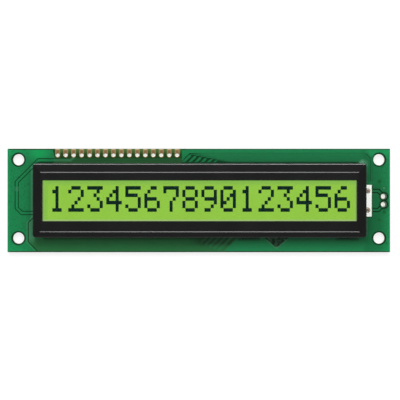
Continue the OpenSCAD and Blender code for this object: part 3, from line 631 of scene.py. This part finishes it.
pane = Finish("pane", {"Specular IOR Level": 0.5, "Roughness": 0.08, "Alpha": 0.04})
pane.give("Base Color", pane.shade(pane.noise(20, 2), "#1c2a20", "#223226"))
pane.cover(cad["front_glass"], cad["rear_glass"])

resin_ring = Finish("resin_ring", {"Specular IOR Level": 0.5, "Roughness": 0.4})
cured = resin_ring.noise(0.6, 3)
resin_ring.give("Base Color", resin_ring.shade(cured, "#3e4a2a", "#4a5734"))
resin_ring.cover(cad["cell_seal"], cad["fill_port_plug"])

dark_crystal = Finish("dark_crystal", {"Specular IOR Level": 0.0, "Roughness": 0.6})
depth = dark_crystal.noise(1.2, 3)
dark_crystal.give("Base Color", dark_crystal.shade(depth, "#02241c", "#052e26"))

# The field spreads a little past each electrode, so a driven dot is slightly larger
spread = 0.03
dots_low, dots_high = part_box("lit_dots")
thickness = 1000 * (dots_high[2] - dots_low[2])
bpy.ops.object.select_all(action="DESELECT")
driven_dots = cad["lit_dots"].copy()
driven_dots.data = cad["lit_dots"].data.copy()
driven_dots.name = "driven_dots"
bpy.context.collection.objects.link(driven_dots)
driven_dots.select_set(True)
bpy.context.view_layer.objects.active = driven_dots
bpy.ops.object.mode_set(mode="EDIT")
bpy.ops.mesh.select_all(action="SELECT")
bpy.ops.mesh.remove_doubles(threshold=1e-6)
bpy.ops.transform.shrink_fatten(value=spread / 1000, use_even_offset=True)
bpy.ops.transform.resize(
    value=(1, 1, thickness / (thickness + 2 * spread)),
    center_override=(0, 0, (dots_low[2] + dots_high[2]) / 2),
)
bpy.ops.object.mode_set(mode="OBJECT")
dark_crystal.cover(driven_dots)
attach(driven_dots, "root")
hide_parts("lit_dots")


# ------------------------------------------------------------------ front polariser
# A grey film with a matt face against glare, stuck to the front glass. It is seen
# through the window of the bezel.

matt_film = Finish("matt_film", {"Specular IOR Level": 0.5, "Roughness": 0.45, "Alpha": 0.05})
fine = matt_film.noise(0.2, 2)
matt_film.give("Base Color", matt_film.shade(fine, "#2a3526", "#34402e"))
matt_film.bump(fine, 0.002)
matt_film.cover(cad["front_polariser"])


# ------------------------------------------------------------------ bezel
# Sheet steel, blanked and drawn to a land, sloped rims and skirts, with tabs that
# are twisted behind the board. Satin black paint covers it, with a fine orange peel.

black_paint = Finish("black_paint", {"Specular IOR Level": 0.42})
smudges = black_paint.noise(9, 4)
black_paint.give("Base Color", black_paint.shade(smudges, "#141415", "#1c1c1c"))
black_paint.give("Roughness", 0.13 + smudges * 0.05)
black_paint.bump(black_paint.noise(0.5, 3), 0.002)
black_paint.cover(cad["bezel"])


# ------------------------------------------------------------------ epoxy blobs
# A drop of black epoxy over each bare chip on the back, which ran out round before
# it set. It is glossy, with a slightly wavy face.

drop_epoxy = Finish("drop_epoxy", {"Specular IOR Level": 0.5})
wavy = drop_epoxy.noise(2.5, 3)
drop_epoxy.give("Base Color", drop_epoxy.shade(wavy, "#0b0b0c", "#171716"))
drop_epoxy.give("Roughness", 0.16 + wavy * 0.16)
drop_epoxy.bump(wavy, 0.12)
drop_epoxy.cover(cad["controller_blob"], cad["driver_blob"])


# ------------------------------------------------------------------ chip parts
# Chip resistors and capacitors soldered across pairs of tinned lands: black glass
# over the resistors, tan ceramic for the capacitors, and tinned caps on both.

land_tin = Finish("land_tin", {"Metallic": 0.8})
grain = land_tin.noise(0.3, 3)
land_tin.give("Base Color", land_tin.shade(grain, "#b4b5b2", "#dcdcd8"))
land_tin.give("Roughness", 0.22 + grain * 0.2)
land_tin.bump(grain, 0.02)
land_tin.cover(cad["chip_lands"], cad["resistor_ends"], cad["capacitor_ends"])

resistor_glass = Finish("resistor_glass", {"Specular IOR Level": 0.5})
mottled = resistor_glass.noise(0.3, 2)
resistor_glass.give("Base Color", resistor_glass.shade(mottled, "#141416", "#202023"))
resistor_glass.give("Roughness", 0.25 + mottled * 0.2)
resistor_glass.cover(cad["resistor_bodies"])

tan_ceramic = Finish("tan_ceramic", {"Specular IOR Level": 0.4})
fired = tan_ceramic.noise(0.2, 3)
tan_ceramic.give("Base Color", tan_ceramic.shade(fired, "#a98a66", "#c3a684"))
tan_ceramic.give("Roughness", 0.5 + fired * 0.2)
tan_ceramic.cover(cad["capacitor_bodies"])


# ------------------------------------------------------------------ floor
# A plain white table top that carries the module on its tabs. The camera sees it
# white, with the module's soft shadow on it, and with a painted shadow below the bezel,
# where the slots of the tabs would let it shine through.

bpy.ops.object.select_all(action="DESELECT")
bpy.ops.mesh.primitive_plane_add(size=6)
floor = bpy.context.object
floor.name = "floor"
table_white = Finish("table_white", {
    "Specular IOR Level": 0.0, "Roughness": 0.9, "Emission Strength": 1.0,
})
table_white.give("Base Color", table_white.shade(table_white.noise(40, 2), "#989898", "#9b9b9b"))
seen = table_white.add("ShaderNodeLightPath", {}, {}, "Is Camera Ray")
passed = table_white.add("ShaderNodeLightPath", {}, {}, "Is Transmission Ray")
in_shade = table_white.rectangle(
    bezel_low[0], bezel_high[0], -bezel_side - 1, bezel_side + 1
)
shown = table_white.math("MAXIMUM", seen, passed) * (1 - in_shade)
# Painted light makes the table brighter below the mounting holes
hole_radius, painted_hole_light = 2.2, 0.12
for middle in hole_middles:
    shown = shown + table_white.disc(middle, hole_radius) * seen * painted_hole_light
black, pale_grey = (0, 0, 0, 1), (0.76, 0.76, 0.76, 1)
table_white.give("Emission Color", table_white.mix(shown, black, pale_grey))
floor.data.materials.append(table_white.material)


# ------------------------------------------------------------------ studio light
# A white room that is darker overhead, where the camera hangs, and four soft boxes.
# Those behind and before the module make a thin line of light on each long bend of
# the bezel, and the flat faces stay dark. The one overhead lights the mask.

world = bpy.data.worlds.new("room")
world.use_nodes = True
bpy.context.scene.world = world
room = world.node_tree
direction = room.nodes.new("ShaderNodeTexCoord")
height = room.nodes.new("ShaderNodeSeparateXYZ")
room.links.new(direction.outputs["Generated"], height.inputs[0])
walls = room.nodes.new("ShaderNodeValToRGB")
walls.color_ramp.elements.new(0.3)
heights, greys = (0.0, 0.15, 1.0), (1.0, 0.15, 0.08)
for element, position, grey in zip(walls.color_ramp.elements, heights, greys):
    element.position = position
    element.color = (grey, grey, grey, 1.0)
room.links.new(height.outputs["Z"], walls.inputs[0])
path = room.nodes.new("ShaderNodeLightPath")
backdrop = room.nodes.new("ShaderNodeMix")
backdrop.data_type = "RGBA"
room.links.new(path.outputs["Is Camera Ray"], backdrop.inputs[0])
room.links.new(walls.outputs[0], backdrop.inputs[6])
backdrop.inputs[7].default_value = (1.0, 1.0, 1.0, 1.0)
room.links.new(backdrop.outputs[2], room.nodes["Background"].inputs["Color"])


def soft_box(name, tilt, shift, length, width, radiance):
    """A lamp a metre off, tilted from overhead, whose long side lies along the module."""
    away = Vector((shift, math.sin(math.radians(tilt)), math.cos(math.radians(tilt))))
    data = bpy.data.lights.new(name, "AREA")
    data.shape = "RECTANGLE"
    data.size = length
    data.size_y = width
    data.energy = radiance * math.pi * length * width
    lamp = bpy.data.objects.new(name, data)
    lamp.location = away
    lamp.rotation_euler = (math.radians(-tilt), 0, 0)
    bpy.context.collection.objects.link(lamp)
    return lamp


soft_box("rear_soft_box", tilt=24, shift=-0.025, length=0.44, width=0.44, radiance=7.9)
soft_box("low_soft_box", tilt=84, shift=0, length=0.42, width=0.16, radiance=24)
front_box = soft_box(
    "front_soft_box", tilt=-46, shift=0.008, length=0.29, width=0.46, radiance=8.3
)
front_box.visible_diffuse = False
top_box = soft_box("top_soft_box", tilt=0, shift=0, length=1.2, width=1.0, radiance=1.72)
top_box.visible_glossy = False


# ------------------------------------------------------------------ camera
# It hangs straight above the middle of the module and looks down, with a long lens.
# Its height is the distance from the table, in metres.

camera_x, camera_y, camera_height = 0.000393, 0.000146, 0.7035
camera_data = bpy.data.cameras.new("camera")
camera_data.sensor_width = 36
camera_data.lens = 197.5
camera_data.clip_end = 10
camera = bpy.data.objects.new("camera", camera_data)
camera.location = (camera_x, camera_y, camera_height)
bpy.context.collection.objects.link(camera)
bpy.context.scene.camera = camera
bpy.context.scene.view_settings.view_transform = "Standard"
